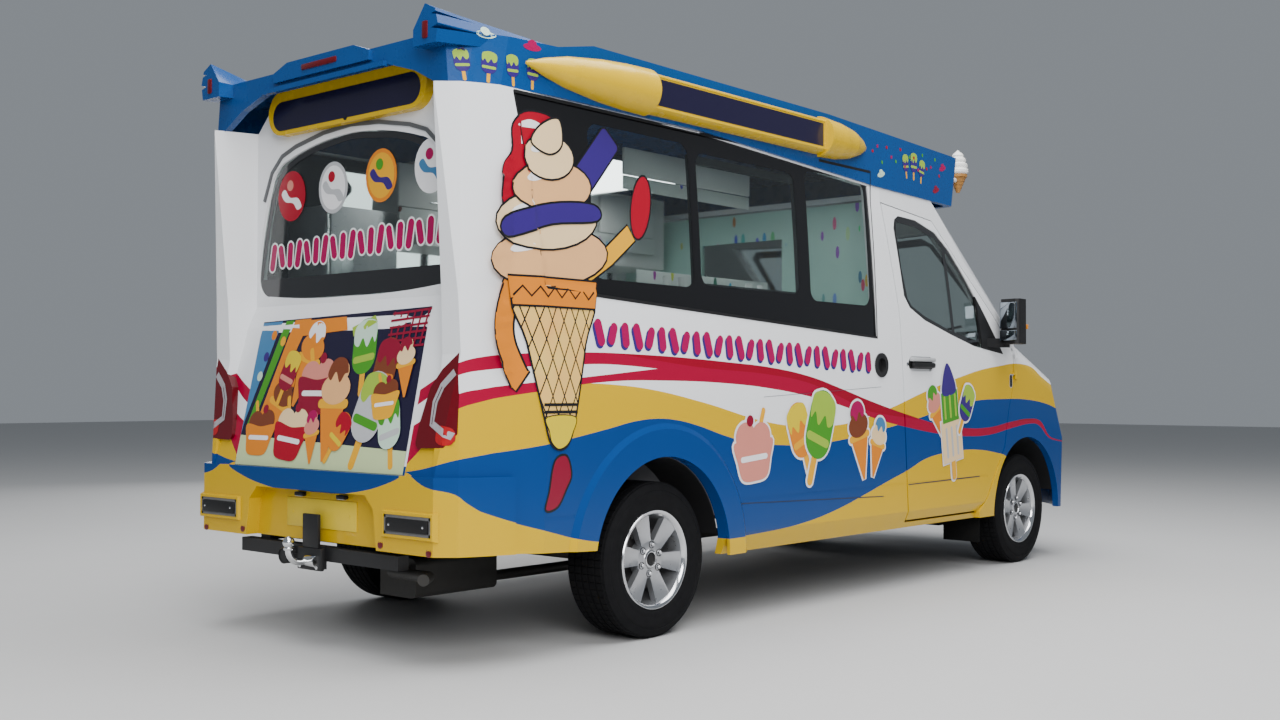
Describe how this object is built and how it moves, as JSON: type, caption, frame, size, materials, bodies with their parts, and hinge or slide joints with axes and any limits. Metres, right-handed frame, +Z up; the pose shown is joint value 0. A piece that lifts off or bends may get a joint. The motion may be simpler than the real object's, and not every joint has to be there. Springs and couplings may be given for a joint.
{
  "type": "ice cream van",
  "caption": "Right-hand-drive panel van fitted out as an ice cream van: serving hatch, roof canopy with rocket-shaped sign boxes, hinged doors and bonnet, steered and rolling wheels.",
  "frame": {"origin": "on the ground under the middle of the van's length and width", "axes": "+X forward, +Y to the van's left, +Z up"},
  "size_m": [5.9598, 2.343, 2.6349],
  "materials": {
    "livery_paint": "gloss coach paint with striped livery",
    "white_paint": "gloss white",
    "canopy_shell": "blue gelcoat",
    "sign_shell": "yellow gelcoat with dark blank panel",
    "cone_model": "painted moulding",
    "clear_glass": "clear",
    "dark_glass": "tinted with a black border",
    "lamp_red": "red lens",
    "lamp_clear": "clear lens",
    "trim_black": "grained black",
    "alloy": "silver with a polished lip",
    "tyre_rubber": "matt",
    "chassis_black": "satin black",
    "axle_steel": "bare casting",
    "pipe_steel": "dull",
    "tow_chrome": "polished ball on a black bar",
    "seat_cloth": "woven",
    "laminate": "white laminate",
    "mint_board": "mint board",
    "machine_steel": "brushed",
    "floor_sheet": "ribbed sheet on steel",
    "inlet_plastic": "black moulded"
  },
  "bodies": {
    "body": {"side_panel_left": "livery_paint", "side_panel_right": "livery_paint", "rear_panel": "livery_paint", "rear_bumper": "livery_paint", "wing_left": "livery_paint", "wing_right": "livery_paint", "front_bumper": "livery_paint", "cab_shell": "white_paint", "roof_canopy": "canopy_shell", "sign_boxes": "sign_shell", "roof_cones": "cone_model", "windscreen": "clear_glass", "rear_window": "clear_glass", "side_glass": "dark_glass", "rear_lamps": "lamp_red", "headlamps": "lamp_clear", "grille": "trim_black", "scuttle": "trim_black", "hatch_frame": "trim_black", "dashboard": "trim_black", "steering_wheel": "trim_black", "wheel_liners": "trim_black", "chassis_frame": "chassis_black", "leaf_springs": "chassis_black", "front_subframe": "chassis_black", "strut_towers": "chassis_black", "fuel_tank": "chassis_black", "rear_axle": "axle_steel", "engine_block": "axle_steel", "exhaust": "pipe_steel", "tow_bar": "tow_chrome", "seats": "seat_cloth", "kitchen_units": "laminate", "bulkhead": "mint_board", "ice_machine": "machine_steel", "floor": "floor_sheet", "mains_inlet": "inlet_plastic"},
    "door_left": {"door_left": "livery_paint", "door_glass_left": "clear_glass", "mirror_left": "trim_black"},
    "door_right": {"door_right": "livery_paint", "door_glass_right": "clear_glass", "mirror_right": "trim_black"},
    "bonnet": {"bonnet": "livery_paint"},
    "steer_left": {"knuckle_left": "axle_steel"},
    "steer_right": {"knuckle_right": "axle_steel"},
    "wheel_front_left": {"rim_front_left": "alloy", "tyre_front_left": "tyre_rubber"},
    "wheel_front_right": {"rim_front_right": "alloy", "tyre_front_right": "tyre_rubber"},
    "wheel_rear_left": {"rim_rear_left": "alloy", "tyre_rear_left": "tyre_rubber"},
    "wheel_rear_right": {"rim_rear_right": "alloy", "tyre_rear_right": "tyre_rubber"}
  },
  "joints": [
    {"name": "steer_right_turn", "type": "hinge", "parent": "body", "child": "steer_right", "pos_m": [1.9875, -0.70071, 0.35], "axis": [0, 0.236, 0.9718], "range_deg": [-35, 35]},
    {"name": "steer_left_turn", "type": "hinge", "parent": "body", "child": "steer_left", "pos_m": [1.9875, 0.70071, 0.35], "axis": [0, -0.236, 0.9718], "range_deg": [-35, 35]},
    {"name": "door_right_swing", "type": "hinge", "parent": "body", "child": "door_right", "pos_m": [1.8005, -1.012, 1.1], "axis": [0, 0, 1], "range_deg": [0, 68]},
    {"name": "door_left_swing", "type": "hinge", "parent": "body", "child": "door_left", "pos_m": [1.8005, 1.012, 1.1], "axis": [0, 0, -1], "range_deg": [0, 68]},
    {"name": "bonnet_lift", "type": "hinge", "parent": "body", "child": "bonnet", "pos_m": [2.1225, 0, 1.44], "axis": [0, -1, 0], "range_deg": [0, 55]},
    {"name": "wheel_front_left_roll", "type": "hinge", "parent": "steer_left", "child": "wheel_front_left", "pos_m": [1.9875, 0.838, 0.35], "axis": [0, 1, 0], "continuous": true},
    {"name": "wheel_front_right_roll", "type": "hinge", "parent": "steer_right", "child": "wheel_front_right", "pos_m": [1.9875, -0.838, 0.35], "axis": [0, 1, 0], "continuous": true},
    {"name": "wheel_rear_left_roll", "type": "hinge", "parent": "body", "child": "wheel_rear_left", "pos_m": [-1.6775, 0.838, 0.35], "axis": [0, 1, 0], "continuous": true},
    {"name": "wheel_rear_right_roll", "type": "hinge", "parent": "body", "child": "wheel_rear_right", "pos_m": [-1.6775, -0.838, 0.35], "axis": [0, 1, 0], "continuous": true}
  ],
  "couplings": [
    {"joint": "steer_left_turn", "follows": "steer_right_turn", "ratio": 1}
  ]
}
